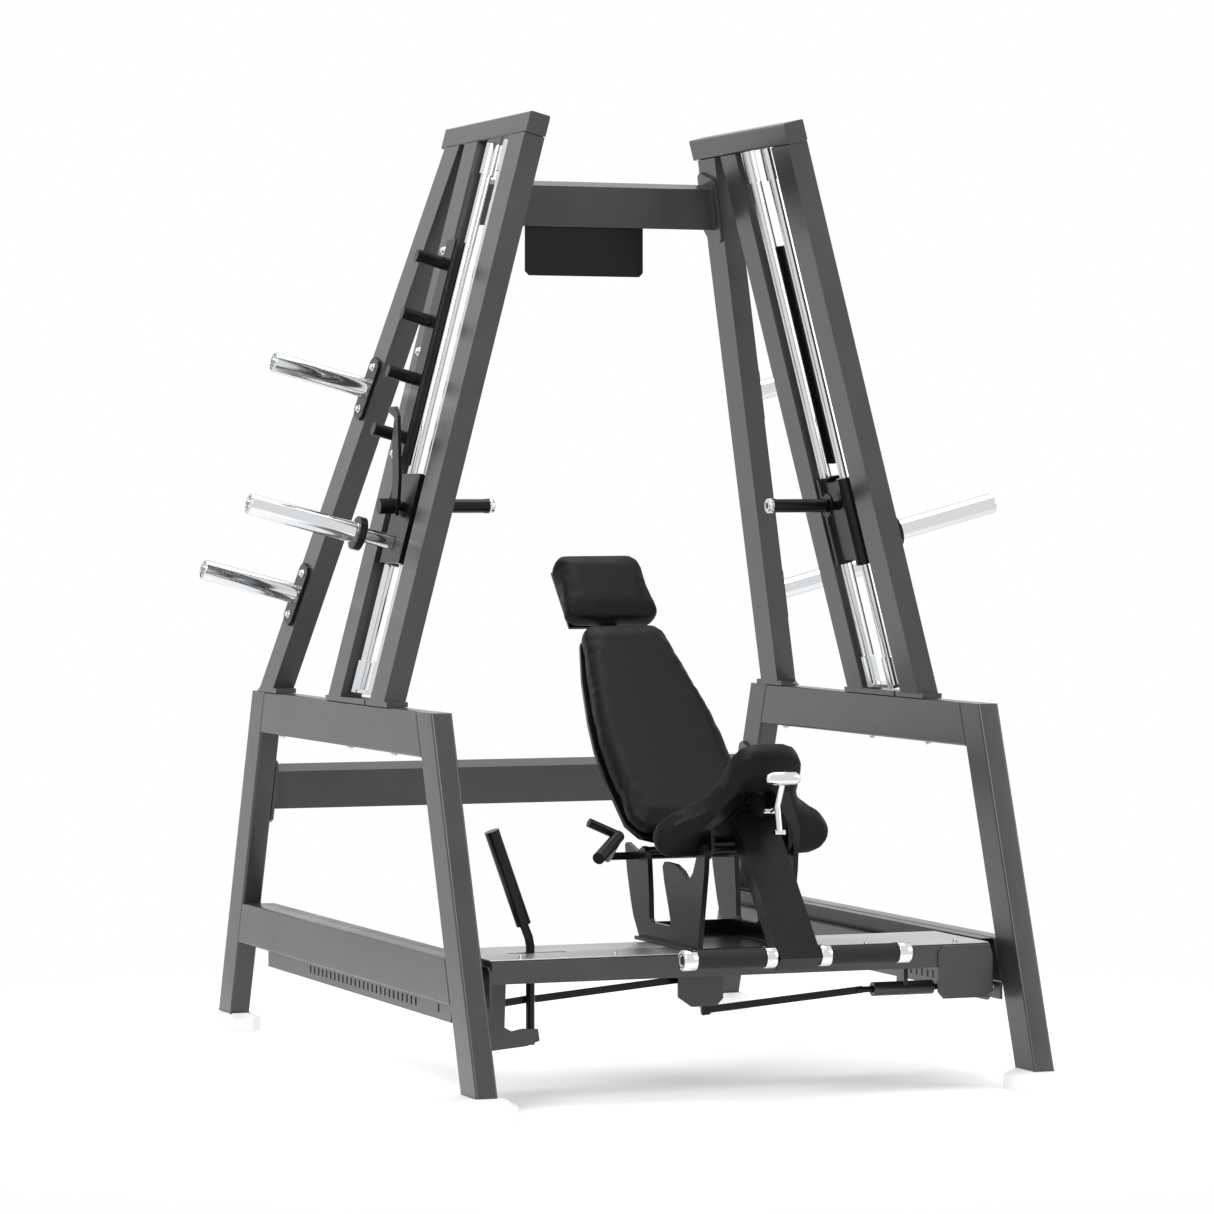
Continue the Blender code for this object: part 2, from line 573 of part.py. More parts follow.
def make_platform(parent):
    top = PLAT_TOP - DECK_T - GAP
    low = top - PLAT_TUBE
    y0, y1 = PLAT_Y
    x = PLAT_X
    front = box((-x, y0, low), (x, y0 + TUBE_WIDE, top))
    pieces = [box((-x, y1 - TUBE_WIDE, low), (x, y1, top))]
    for side in (1, -1):
        lo, hi = sorted((side * SIDE_PLATE[0], side * SIDE_PLATE[1]))
        pieces.append(plate(side_plate_outline(), lo, hi, "YZ"))
        lo, hi = sorted((side * 0.085, side * 0.125))
        pieces.append(box((lo, y0 + 0.03, low), (hi, y1 - 0.03, top)))
    pivot_plate = [(-x - 0.002, top - 0.03), (-0.518, top - 0.03), (-0.522, 0.200), (-0.505, 0.191),
                   (-0.480, 0.196), (-0.444, 0.194), (-0.440, 0.168), (-0.470, 0.157), (-x - 0.002, 0.146)]
    pieces.append(plate(pivot_plate, LEVER_Y - 0.020, LEVER_Y - 0.014, "XZ"))
    crank_plate = [(-0.112, top - 0.02), (-0.004, top - 0.02), (-0.004, 0.245), (-0.020, 0.228),
                   (-0.080, 0.228), (-0.112, 0.250)]
    pieces.append(plate(crank_plate, LEVER_Y - 0.020, LEVER_Y - 0.014, "XZ"))
    pieces.append(box((0.430, y0 + 0.03, top - 0.020), (0.470, y1 - 0.03, top)))
    pieces.append(box((0.445, PIN_Y - 0.020, PIN_Z + 0.008), (0.455, PIN_Y + 0.020, top - 0.010)))
    pieces.append(rod((0.375, PIN_Y, PIN_Z), (0.524, PIN_Y, PIN_Z), 0.016))
    pieces.append(rod((-x - 0.002, PIN_Y, PIN_Z), (-x + 0.036, PIN_Y, PIN_Z), 0.016))
    front_plate = [(x - 0.118, 0.237), (x - 0.014, 0.237), (x + 0.001, 0.252), (x + 0.001, top - 0.012),
                   (x - 0.011, top), (x - 0.118, top), (x - 0.131, top - 0.014), (x - 0.131, 0.252)]
    pieces.append(plate(front_plate, y0 - 0.005, y0 + 0.002, "XZ"))
    frame = union(front, *pieces)
    holes = [rod((side * 0.36, PIN_Y, PIN_Z), (side * (x + 0.014), PIN_Y, PIN_Z), PIN_R + 0.002)
             for side in (1, -1)]
    finish(cut(frame, *holes), "platform_frame", "frame", (0, y0, top), parent)
    deck = box((-x, y0 + 0.010, PLAT_TOP - DECK_T), (x, y1, PLAT_TOP))
    slot = box((LEVER_X - 0.050, LEVER_Y - 0.014, low), (LEVER_X + 0.084, LEVER_Y + 0.014, PLAT_TOP + 0.01))
    finish(cut(deck, slot), "deck_plate", "deck", (0, y0, PLAT_TOP), parent)


def lever_path():
    return [(LEVER_X, LEVER_PIVOT_Z - 0.022), (LEVER_X, 0.375), (LEVER_X - 0.004, 0.395),
            (LEVER_X - 0.015, 0.422), (LEVER_X - 0.088, 0.624)]


def make_lever(parent):
    path = lever_path()
    curve = bpy.data.curves.new("lever", "CURVE")
    curve.dimensions = "3D"
    curve.bevel_depth = LEVER_R
    curve.bevel_resolution = 3
    curve.use_fill_caps = True
    spline = curve.splines.new("POLY")
    spline.points.add(len(path) - 1)
    for point, (x, z) in zip(spline.points, path):
        point.co = (x, LEVER_Y, z, 1)
    obj = bpy.data.objects.new("lever", curve)
    bpy.context.scene.collection.objects.link(obj)
    bpy.context.view_layer.update()
    bar = baked(obj)
    (x0, z0), (x1, z1) = path[-2:]
    low = (x0, LEVER_Y, z0)
    high = (x1 - 0.002, LEVER_Y, z1 + 0.006)
    grip = rod(low, high, 0.0165)
    finish(union(bar, grip), "release_lever", "black", (LEVER_X, LEVER_Y, LEVER_PIVOT_Z), parent)


def link_bar(a, b):
    """A flat bar with cut corners between two points (x, z), behind the lever."""
    a, b = Vector(a), Vector(b)
    along = (b - a).normalized()
    across = Vector((-along.y, along.x)) * LINK_H / 2
    a, b = a - along * 0.006, b + along * 0.006
    ring = [a - across, b - across, b + across, a + across]
    return plate([tuple(p) for p in ring], PIN_Y - LINK_T / 2, PIN_Y + LINK_T / 2, "XZ")


def make_latch_links(parent):
    left = union(link_bar((LEVER_X, LINK_Z), (-0.540, PIN_Z)),
                 rod((-0.536, PIN_Y, PIN_Z), (-PIN_STEP, PIN_Y, PIN_Z), PIN_R),
                 rod((-PIN_STEP + 0.005, PIN_Y, PIN_Z), (-PIN_TIP, PIN_Y, PIN_Z), PIN_END_R))
    finish(left, "left_latch_link", "black", (LEVER_X, PIN_Y, LINK_Z), parent)
    middle = link_bar((LEVER_X + 0.022, LINK_Z), CRANK_TOP)
    finish(middle, "cross_link", "black", (LEVER_X, PIN_Y, LINK_Z), parent)
    right = union(link_bar(CRANK_LOW, (0.345, PIN_Z)),
                  rod((0.335, PIN_Y, PIN_Z), (PIN_STEP, PIN_Y, PIN_Z), PIN_R),
                  rod((PIN_STEP - 0.005, PIN_Y, PIN_Z), (PIN_TIP, PIN_Y, PIN_Z), PIN_END_R))
    finish(right, "right_latch_link", "black", (CRANK_LOW[0], PIN_Y, CRANK_LOW[1]), parent)
    (tx, tz), (bx, bz) = CRANK_TOP, CRANK_LOW
    ring = [(tx - 0.010, tz + 0.008), (tx + 0.010, tz + 0.010), (CRANK_X + 0.014, CRANK_Z),
            (bx + 0.010, bz - 0.008),
            (bx - 0.010, bz - 0.010), (CRANK_X - 0.016, CRANK_Z)]
    crank = plate(ring, LEVER_Y - 0.006, LEVER_Y + 0.002, "XZ")
    finish(crank, "bell_crank", "black", (CRANK_X, LEVER_Y, CRANK_Z), parent)


# ---- bench ---------------------------------------------------------------------------------------------
def cheek_outline():
    """A side plate with two arms: the rear one carries the back's hinge, the front one the seat's."""
    z0 = PLAT_TOP + GAP + 0.004
    ay, az = BACK_AXIS
    sy, sz = SEAT_AXIS
    rear_arm = [(ay + 0.020, z0), (ay + 0.057, 0.410), (ay + 0.073, 0.445), (ay + 0.089, 0.490),
                (ay + 0.098, 0.517), (ay + 0.109, az + 0.012), (ay + 0.100, az + 0.018),
                (ay + 0.060, az + 0.007), (ay + 0.030, az + 0.002),
                (ay + 0.012, az + 0.011), (ay, az + 0.016), (ay - 0.012, az + 0.011),
                (ay - 0.030, az - 0.012), (ay - 0.039, 0.470), (ay - 0.042, CHEEK_DIP + 0.008)]
    front_arm = [(ay - 0.050, CHEEK_DIP), (-0.628, CHEEK_DIP), (-0.637, CHEEK_DIP + 0.008), (-0.625, 0.443),
                 (-0.599, 0.500), (-0.588, 0.535), (-0.600, 0.546), (-0.660, 0.544), (-0.700, 0.532),
                 (-0.735, 0.510), (sy + 0.051, 0.532), (sy + 0.019, sz), (sy + 0.008, sz + 0.011),
                 (sy - 0.010, sz + 0.014), (sy - 0.020, sz), (sy - 0.016, 0.540), (BENCH_FOOT_Y, z0)]
    return rear_arm + front_arm


def make_bench_base(parent):
    z0 = PLAT_TOP + GAP
    rear = BACK_AXIS[0] + 0.017
    foot = box((-0.125, BENCH_FOOT_Y, z0), (0.125, rear, z0 + 0.008))
    pieces = [box((-0.106, -0.469, z0 + 0.003), (0.106, -0.463, 0.400))]
    for side in (1, -1):
        lo, hi = sorted((side * CHEEK_X[0], side * CHEEK_X[1]))
        pieces.append(plate(cheek_outline(), lo, hi, "YZ"))
    finish(union(foot, *pieces), "bench_base", "black", (0, -0.62, z0), parent)


def slope_frame(origin, angle):
    """A frame whose x is the machine's X, y runs up a slope and z is the slope's outward normal."""
    c, s = math.cos(angle), math.sin(angle)
    return Matrix(((1, 0, 0, 0), (0, c, -s, origin[0]), (0, s, c, origin[1]), (0, 0, 0, 1)))


def back_frame_matrix():
    return slope_frame(BACK_TOP, BACK_ANGLE)


def head_frame_matrix():
    return back_frame_matrix() @ Matrix.Translation((0, 0.018,
                                                     -0.012)) @ Matrix.Rotation(HEAD_ANGLE - BACK_ANGLE, 4,
                                                                                "X")


def back_outline(inset=0.0):
    half = [(0.085, 0.0), (0.108, -0.022), (0.136, -0.150), (0.157, -0.280), (0.166, -0.380),
            (0.166, -0.480),
            (0.156, -0.610), (0.132, -0.648), (0.100, -BACK_LENGTH)]
    half = [(x - inset, y if y > -0.3 else y + inset) for x, y in half]
    half = [(x, y - inset if y > -0.03 else y) for x, y in half]
    return half + [(-x, y) for x, y in reversed(half)]


def make_back(parent):
    frame = back_frame_matrix()
    pad = plate(back_outline(), -PAD_T, 0, "XY")
    finish(moved(pad, frame), "back_pad", "pad", (0, *BACK_AXIS), parent)
    board = plate(back_outline(0.010), -PAD_T - BOARD_T, -PAD_T - GAP, "XY")
    deep = -PAD_T - BOARD_T
    spine = box((-0.025, -0.655, deep - 0.028), (0.025, -0.016, deep + 0.002))
    neck = box((-0.022, -0.040, deep - 0.025), (0.022, 0.120, deep - 0.0105))
    tube = rod((-0.099, 0, 0), (0.099, 0, 0), 0.0145)
    axis_local = frame.inverted() @ Vector((0, *BACK_AXIS))
    moved(tube, Matrix.Translation(axis_local))
    body = union(board, spine, neck, tube)
    head = head_frame_matrix()
    rest = box((-0.100, 0.020, -HEAD_T - 0.008), (0.100, HEAD_LENGTH - 0.020, -HEAD_T - GAP))
    rest = moved(rest, frame.inverted() @ head)
    body = union(body, rest)
    finish(moved(body, frame), "back_frame", "black", (0, *BACK_AXIS), parent)
    k = 0.022
    x0, x1, l = 0.124, 0.116, HEAD_LENGTH
    ring = [(-x0 + k, 0), (x0 - k, 0), (x0, k), (x1, l - k), (x1 - k, l), (-x1 + k, l), (-x1, l - k),
            (-x0, k)]
    finish(moved(plate(ring, -HEAD_T, 0, "XY"), head), "head_pad", "pad", (0, *BACK_AXIS), parent)


def seat_frame_matrix():
    """y runs from the seat's rear up to its nose, z is the seat's upper side."""
    c, s = math.cos(SEAT_ANGLE), math.sin(SEAT_ANGLE)
    y, z = SEAT_BASE
    return Matrix(((-1, 0, 0, 0), (0, -c, s, y), (0, s, c, z), (0, 0, 0, 1)))


def seat_outline():
    half = [(0.116, -0.055), (0.180, -0.050), (0.208, -0.030), (0.217, -0.002), (0.212, 0.028),
            (0.190, 0.058), (0.152, 0.090), (0.120, 0.125), (0.102, 0.165), (0.094, 0.205),
            (0.086, 0.240), (0.066, 0.268), (0.036, 0.280)]
    return half + [(-x, y) for x, y in reversed(half)]


def post_matrix():
    """x is the machine's X, y runs down the post, z is the outward normal of its front face."""
    c, s = math.cos(POST_ANGLE), math.sin(POST_ANGLE)
    y, z = POST_TOP
    return Matrix(((-1, 0, 0, 0), (0, -c, -s, y), (0, -s, c, z), (0, 0, 0, 1)))


def make_seat(parent):
    frame = seat_frame_matrix()
    finish(moved(plate(seat_outline(), 0, SEAT_T, "XY"), frame), "seat_pad", "pad", (0, *SEAT_AXIS), parent)
    tray = moved(plate([(-0.135, -0.010), (0.135, -0.010), (0.120, 0.050), (0.060, 0.170), (-0.060, 0.170),
                        (-0.120, 0.050)], -0.005, -GAP, "XY"), frame)
    pieces = []
    for side in (1, -1):
        lo, hi = sorted((side * 0.088, side * 0.096))
        pieces.append(moved(plate([(-0.008, -0.003), (-0.002, -0.034), (0.030, -0.034), (0.060, -0.003)],
                                  -hi, -lo, "YZ"),
                            frame))
        lo, hi = sorted((side * 0.018, side * 0.024))
        pieces.append(moved(plate([(0.120, -0.003), (0.150, -0.064), (0.172, -0.064), (0.168, -0.003)], lo,
                                  hi, "YZ"),
                            frame))
    pieces.append(rod((-0.0995, *SEAT_AXIS), (0.0995, *SEAT_AXIS), 0.009))
    post = box((-POST_HALF, -0.026, -POST_T), (POST_HALF, POST_L, 0))
    pieces.append(moved(post, post_matrix()))
    axle = post_matrix() @ Vector((0, ROLLER_T, -POST_T / 2))
    hole = rod((-0.06, axle.y, axle.z), (0.06, axle.y, axle.z), 0.010 + GAP)
    finish(cut(union(tray, *pieces), hole), "seat_frame", "black", (0, *SEAT_AXIS), parent)
    x, r = ROLLER_X, ROLLER_R
    profile = [(0, 0), (r - 0.001, 0), (r + 0.001, 0.003), (r + 0.001, 0.036), (r, 0.037), (r, 0.188),
               (r + 0.001, 0.189), (r + 0.001, x - POST_HALF - 0.001), (0.010, x - POST_HALF - 0.001)]
    profile += [(a, 2 * x - b) for a, b in reversed(profile)]
    rollers = turned(profile, (-x, axle.y, axle.z), (1, 0, 0))
    finish(rollers, "foot_rollers", "rubber", (0, axle.y, axle.z), parent)


def make_seat_handle(parent):
    frame = seat_frame_matrix()
    pivot = Vector((0, *SEAT_HANDLE_AXIS))
    knob = turned([(0, 0), (0.008, 0.001), (0.0145, 0.012), (0.0155, 0.039), (0.0145, 0.066),
                   (0.008, 0.077),
                   (0, 0.078)], (-0.039, -1.008, 0.752), (1, 0, 0))
    arm = rod((0, -1.006, 0.748), (0, -0.975, 0.690), 0.0065, 12)
    shank = rod((0, -0.975, 0.690), (0, -0.988, 0.632), 0.0065, 12)
    web = rod((0, -0.976, 0.690), tuple(pivot), 0.0055, 12)
    pin = rod((-0.0170, *SEAT_HANDLE_AXIS), (0.0170, *SEAT_HANDLE_AXIS), 0.007)
    toe = rod((-0.012, -0.988, 0.634), (0.012, -0.988, 0.634), 0.006, 12)
    finish(union(knob, arm, shank, web, pin, toe), "seat_handle", "chrome", tuple(pivot), parent)


def make_back_handle(parent):
    """A crank beside the back hinge, with a bare stub and a rubber grip."""
    y, z = BACK_HANDLE_AXIS
    inner = -CHEEK_X[1] - GAP
    axle = rod((inner, y, z), (-0.176, y, z), 0.009)
    arm = rod((-0.170, y, z - 0.006), (-0.187, -0.520, 0.598), 0.008, 12)
    stub = rod((-0.185, -0.520, 0.598), (-0.262, -0.520, 0.632), 0.0105)
    grip = rod((-0.190, -0.520, 0.600), (-0.270, -0.600, 0.557), 0.0140)
    finish(union(axle, arm, stub, grip), "back_handle", "black", (inner, y, z), parent)


def main():
    clear_scene()
    collection = bpy.data.collections.get("smith_machine") or bpy.data.collections.new("smith_machine")
    if collection.name not in bpy.context.scene.collection.children:
        bpy.context.scene.collection.children.link(collection)
    foot = BEAM_TOP + BASE_PLATE - FLOOR_Z
    mid = middle_y()
    towers = (empty("tower_right", (HALF_WIDTH, mid, foot), -LEAN),
              empty("tower_left", (-HALF_WIDTH, mid, foot), LEAN))
    platform = empty("platform_slide", (0, mid + PLAT_Y[0], PLAT_TOP - FLOOR_Z))
    bpy.context.view_layer.update()
    make_side_frames()
    make_uprights(towers)
    make_guide_rods(towers)
    make_peg_rack(towers)
    make_storage_horns(towers)
    make_carriages(towers)
    make_sleeves(towers)
    make_catch_handles()
    make_placard(*make_upper_crossbeam())
    make_lower_crossbeam()
    make_rails()
    riders = []
    for builder in (make_platform, make_lever, make_latch_links, make_bench_base, make_back, make_seat,
                    make_seat_handle, make_back_handle):
        before = set(bpy.data.objects)
        builder(None)
        riders += [obj for obj in bpy.data.objects if obj not in before and obj.type == "MESH"]
    for obj in riders:
        obj.parent = platform
        obj.matrix_parent_inverse = platform.matrix_world.inverted()


main()
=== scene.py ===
"""A plate-loaded smith machine with an adjustable bench: the visible surfaces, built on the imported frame.

Lengths are metres. +Z is up, +X runs across the machine and -Y is its front.
"""
import json
import math
import bpy
import bmesh
import numpy as np
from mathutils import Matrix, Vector


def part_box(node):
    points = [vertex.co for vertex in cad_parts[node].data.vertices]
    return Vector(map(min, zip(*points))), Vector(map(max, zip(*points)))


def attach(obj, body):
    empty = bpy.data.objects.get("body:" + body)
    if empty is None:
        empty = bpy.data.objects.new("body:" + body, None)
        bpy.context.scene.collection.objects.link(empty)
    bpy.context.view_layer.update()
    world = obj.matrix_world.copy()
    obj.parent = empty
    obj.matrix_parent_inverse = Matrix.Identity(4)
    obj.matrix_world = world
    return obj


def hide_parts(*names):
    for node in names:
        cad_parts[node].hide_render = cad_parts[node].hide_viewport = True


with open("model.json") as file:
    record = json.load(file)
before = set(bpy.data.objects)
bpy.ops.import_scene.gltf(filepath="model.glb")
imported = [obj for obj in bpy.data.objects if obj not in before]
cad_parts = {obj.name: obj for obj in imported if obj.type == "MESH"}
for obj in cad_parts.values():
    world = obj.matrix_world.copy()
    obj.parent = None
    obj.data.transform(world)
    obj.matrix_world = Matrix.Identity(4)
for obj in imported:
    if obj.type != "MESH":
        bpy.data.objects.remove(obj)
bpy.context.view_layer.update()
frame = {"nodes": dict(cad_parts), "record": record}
nodes = frame["nodes"]
SIDES = (("left", -1), ("right", 1))

# ---- places worked out from the frame ---------------------------------------------------------------
joints = {j["name"]: j for j in frame["record"]["behaviour"]["joints"]}
body_of_node = {n: b for b, names in frame["record"]["behaviour"]["bodies"].items() for n in names}
slot_of_node = {s["node"]: s["material_slot"] for s in frame["record"]["subparts"]}
LEAN_SIN, _, LEAN_COS = joints["carriage_left_slide"]["axis"]
beam_low, beam_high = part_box("top_beam_right")
MIDDLE = (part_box("lower_beam_left")[0][1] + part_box("lower_beam_left")[1][1]) / 2
HALF_WIDTH = beam_high[0]
TOWER_FOOT = beam_high[2] + 0.012


def tower_point(side, n, y, s):
    """A place on a leaning tower: n outwards from its outer face, y along the machine, s up the lean."""
    x = side * (HALF_WIDTH - s * LEAN_SIN + n * LEAN_COS)
    return np.array((x, y + MIDDLE, TOWER_FOOT + s * LEAN_COS + n * LEAN_SIN))


def tower_axes(side):
    """Unit vectors of a tower: outwards and up the lean."""
    return np.array((side * LEAN_COS, 0, LEAN_SIN)), np.array((-side * LEAN_SIN, 0, LEAN_COS))


# ---- materials --------------------------------------------------------------------------------------
def linear(code):
    """An sRGB hex colour as linear RGBA."""
    parts = [int(code[i:i + 2], 16) / 255 for i in (1, 3, 5)]
    return tuple(c / 12.92 if c <= 0.04045 else ((c + 0.055) / 1.055) ** 2.4 for c in parts) + (1.0,)


def add(tree, kind, settings=None, **links):
    """Adds one node; settings fill its properties or sockets, links join sockets by name."""
    node = tree.nodes.new("ShaderNode" + kind)
    for key, value in (settings or {}).items():
        if isinstance(key, int) or key in node.inputs:
            node.inputs[key].default_value = value
        else:
            setattr(node, key, value)
    for key, source in links.items():
        tree.links.new(source, node.inputs[key.replace("_", " ")])
    return node


def start_material(name, colour, roughness, metallic=0.0, **shader):
    """A Principled material with its even values set on the shader's own sockets."""
    made = bpy.data.materials.new(name)
    made.use_nodes = True
    tree = made.node_tree
    surface = tree.nodes["Principled BSDF"]
    values = {"Base Color": linear(colour), "Roughness": roughness, "Metallic": metallic}
    values.update({key.replace("_", " "): value for key, value in shader.items()})
    for key, value in values.items():
        surface.inputs[key].default_value = value
    place = add(tree, "TexCoord").outputs["Object"]
    return made, tree, surface, place


def shade_between(tree, factor, low, high):
    """A colour ramp between two hex colours."""
    ramp = add(tree, "ValToRGB", Fac=factor)
    ramp.color_ramp.elements[0].position = 0.35
    ramp.color_ramp.elements[1].position = 0.65
    ramp.color_ramp.elements[0].color = linear(low)
    ramp.color_ramp.elements[1].color = linear(high)
    return ramp.outputs["Color"]


def range_of(tree, value, low, high):
    """Stretches a noise's middle range to run from low to high."""
    ends = {"From Min": 0.3, "From Max": 0.7, "To Min": low, "To Max": high}
    return add(tree, "MapRange", ends, Value=value).outputs[0]


def powder_coat(name, dark, light, rough_low, rough_high, coat, specular=0.5):
    """Baked powder coat: an even colour, a fine orange peel and a soft, slightly uneven shine."""
    made, tree, surface, place = start_material(
        name, dark, rough_low, Coat_Weight=coat, Coat_Roughness=0.16, Specular_IOR_Level=specular)
    # orange peel is about 1.2 mm across; it is drawn at 2.5 mm so that it shows
    peel = add(tree, "TexNoise", {"Scale": 1 / 0.0025, "Detail": 2.0}, Vector=place)
    drift = add(tree, "TexNoise", {"Scale": 1 / 0.16, "Detail": 4.0}, Vector=place)
    tree.links.new(shade_between(tree, drift.outputs[0], dark, light), surface.inputs["Base Color"])
    tree.links.new(range_of(tree, drift.outputs[0], rough_low, rough_high), surface.inputs["Roughness"])
    bump = add(tree, "Bump", {"Strength": 0.10, "Distance": 0.0004}, Height=peel.outputs[0])
    tree.links.new(bump.outputs[0], surface.inputs["Normal"])
    return made


def ground_metal(name, colour, rough_low, rough_high, stretch, grain, anisotropic=0.0):
    """Metal with a directional grain: stretch squeezes the noise so that the marks run one way."""
    made, tree, surface, place = start_material(name, colour, rough_low, 1.0, Anisotropic=anisotropic)
    turned = add(tree, "Mapping", {"Scale": stretch}, Vector=place)
    marks = add(tree, "TexNoise", {"Scale": 1 / grain, "Detail": 5.0}, Vector=turned.outputs[0])
    tree.links.new(range_of(tree, marks.outputs[0], rough_low, rough_high), surface.inputs["Roughness"])
    bump = add(tree, "Bump", {"Strength": 0.05, "Distance": 0.0002}, Height=marks.outputs[0])
    tree.links.new(bump.outputs[0], surface.inputs["Normal"])
    return made


def pvc_leather():
    """Embossed PVC upholstery: pebbled grain about 1.5 mm across, drawn at 2.2 mm, with a dull sheen."""
    made, tree, surface, place = start_material(
        "embossed_pvc_leather", "#0d0d0e", 0.50, Specular_IOR_Level=0.13)
    pebble = add(tree, "TexVoronoi", {"Scale": 1 / 0.0022, "feature": "SMOOTH_F1"}, Vector=place)
    fold = add(tree, "TexNoise", {"Scale": 1 / 0.045, "Detail": 5.0}, Vector=place)
    tree.links.new(shade_between(tree, fold.outputs[0], "#0c0c0d", "#111112"), surface.inputs["Base Color"])
    tree.links.new(range_of(tree, fold.outputs[0], 0.40, 0.54), surface.inputs["Roughness"])
    fine = add(tree, "Bump", {"Strength": 0.35, "Distance": 0.0004}, Height=pebble.outputs[0])
    broad = add(tree, "Bump", {"Strength": 0.15, "Distance": 0.002},
                Height=fold.outputs[0], Normal=fine.outputs[0])
    tree.links.new(broad.outputs[0], surface.inputs["Normal"])
    return made


def moulded_rubber(name, colour):
    """Moulded rubber: dull, with a fine spark-eroded mould texture of about 1 mm, drawn at 1.5 mm."""
    made, tree, surface, place = start_material(name, colour, 0.68, Specular_IOR_Level=0.35)
    grain = add(tree, "TexNoise", {"Scale": 1 / 0.0015, "Detail": 3.0}, Vector=place)
    tree.links.new(range_of(tree, grain.outputs[0], 0.60, 0.80), surface.inputs["Roughness"])
    bump = add(tree, "Bump", {"Strength": 0.25, "Distance": 0.0004}, Height=grain.outputs[0])
    tree.links.new(bump.outputs[0], surface.inputs["Normal"])
    return made


grey_steel = powder_coat("satin_powder_coated_steel", "#2a2a2b", "#303031", 0.28, 0.36, 0.15)
black_steel = powder_coat("gloss_powder_coated_steel", "#070707", "#0b0b0c", 0.24, 0.32, 0.04, 0.22)
shoe_coat = powder_coat("white_powder_coated_casting", "#dcdddd", "#e8e8e8", 0.38, 0.48, 0.15)
chrome = ground_metal("hard_chrome", "#d6d8da", 0.07, 0.13, (1, 1, 1), 0.030)
zinc = ground_metal("bright_zinc_plating", "#b4b6b6", 0.24, 0.38, (1, 1, 1), 0.004)
deck_metal = ground_metal("brushed_stainless_steel", "#b9bab9", 0.28, 0.42, (1, 40, 40), 0.05, 0.5)
leather = pvc_leather()
rubber = moulded_rubber("moulded_rubber_grip", "#131313")

LOOK = {
    "frame_paint": grey_steel, "black_paint": black_steel, "chrome": chrome, "shoe": shoe_coat,
    "deck_steel": deck_metal, "upholstery": leather, "rubber": rubber,
}


# ---- surfaces ---------------------------------------------------------------------------------------
def keep(obj, body, slot_name, look, *stood_for):
    """Gives a finished piece its material and says what it rides on and stands for."""
    obj.data.materials.clear()
    obj.data.materials.append(look)
    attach(obj, body)
    if stood_for:
        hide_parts(*stood_for)
    return obj


def soften(mesh, long_weight, end_weight):
    """Welds a mesh, joins its flat faces and weights its sharp edges, more along its length than across."""
    work = bmesh.new()
    work.from_mesh(mesh)
    bmesh.ops.remove_doubles(work, verts=work.verts, dist=1e-5)
    bmesh.ops.dissolve_limit(work, angle_limit=math.radians(0.6), verts=work.verts, edges=work.edges)
    points = np.array([v.co for v in work.verts])
    spread = np.linalg.svd(points - points.mean(axis=0), full_matrices=False)[2][0]
    weight = work.edges.layers.float.new("bevel_weight_edge")
    for edge in work.edges:
        if len(edge.link_faces) == 2 and edge.calc_face_angle(0) > math.radians(32):
            along = abs((edge.verts[1].co - edge.verts[0].co).normalized().dot(Vector(spread)))
            edge[weight] = long_weight if along > 0.97 else end_weight
    for face in work.faces:
        face.smooth = True
    work.to_mesh(mesh)
    work.free()


def soft_copy(node, radius, end_share=0.35, look=None):
    """A node's own shape with its edges rounded as rolled tube, bent plate or a casting has them."""
    mesh = nodes[node].data.copy()
    mesh.name = node + "_finished"
    soften(mesh, 1.0, end_share)
    obj = bpy.data.objects.new(mesh.name, mesh)
    bpy.context.scene.collection.objects.link(obj)
    round_off = obj.modifiers.new("rounded_edges", "BEVEL")
    round_off.limit_method = "WEIGHT"
    round_off.width = radius
    round_off.segments = 3
    even = obj.modifiers.new("flat_faces_stay_flat", "WEIGHTED_NORMAL")
    even.keep_sharp = True
    slot_name = slot_of_node[node]
    return keep(obj, body_of_node[node], slot_name, look or LOOK[slot_name], node)


def place_piece(name, points, faces, body, slot_name, look, smooth=True, *stood_for):
    """A new piece from row-frame points and faces, its object at the origin."""
    mesh = bpy.data.meshes.new(name)
    mesh.from_pydata([tuple(p) for p in points], [], faces)
    mesh.update()
    for face in mesh.polygons:
        face.use_smooth = smooth
    obj = bpy.data.objects.new(name, mesh)
    bpy.context.scene.collection.objects.link(obj)
    return keep(obj, body, slot_name, look, *stood_for)


def frame_round(axis):
    """Two unit vectors square to an axis and to each other."""
    axis = np.asarray(axis, float) / np.linalg.norm(axis)
    first = np.cross(axis, (0.0, 0.0, 1.0) if abs(axis[2]) < 0.9 else (1.0, 0.0, 0.0))
    first /= np.linalg.norm(first)
    return axis, first, np.cross(axis, first)


def grid_faces(rows, around):
    """Quads between rings of points, closed round each ring, with the two end rings capped."""
    r, c = np.meshgrid(np.arange(rows - 1), np.arange(around), indexing="ij")
    nxt = (c + 1) % around
    quads = np.stack((r * around + c, r * around + nxt, (r + 1) * around + nxt, (r + 1) * around + c), -1)
    caps = [list(range(around))[::-1], list(range((rows - 1) * around, rows * around))]
    return quads.reshape(-1, 4).tolist() + caps


def lathe(profile, start, axis, around=40):
    """A turned shape from a profile of pairs (r, d).

    P(t, a) = start + d(t) axis + r(t) (cos a u + sin a v).
    """
    axis, u, v = frame_round(axis)
    radius, along = np.array(profile, float).T
    a = np.linspace(0, 2 * np.pi, around, endpoint=False)
    ring = np.cos(a)[:, None] * u + np.sin(a)[:, None] * v
    points = np.asarray(start) + along[:, None, None] * axis + radius[:, None, None] * ring[None]
    return points.reshape(-1, 3), grid_faces(len(radius), around)


